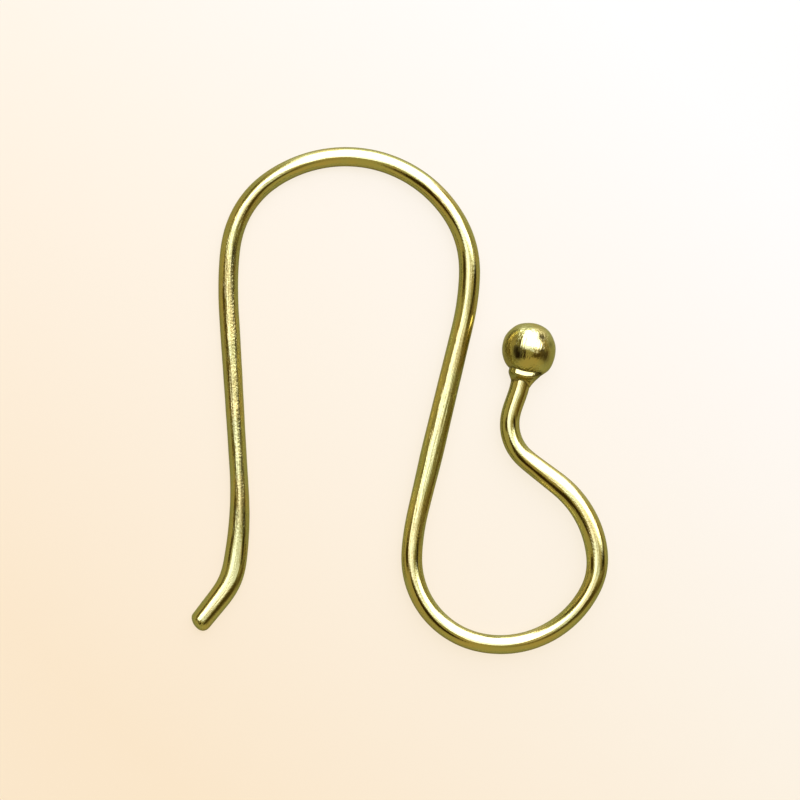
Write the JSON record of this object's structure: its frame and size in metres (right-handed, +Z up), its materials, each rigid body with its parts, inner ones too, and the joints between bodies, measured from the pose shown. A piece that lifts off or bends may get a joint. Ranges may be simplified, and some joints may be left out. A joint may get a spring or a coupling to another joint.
{
  "type": "ear wire",
  "caption": "Fish-hook ear wire bent from one round gold-coloured wire, with a turned-out tail, a hanging loop and a small ball soldered to its end.",
  "frame": {"origin": "on the surface it lies on, under the middle of its outline", "axes": "+Y from the hanging loop towards the crown, as the picture's up; +X from the back leg towards the ball; +Z up from the surface"},
  "size_m": [0.0166, 0.0202, 0.0022],
  "materials": {
    "gold_wire": "polished, worn to a soft satin along the legs"
  },
  "bodies": {
    "root": {"ear_wire": "gold_wire"}
  },
  "joints": []
}
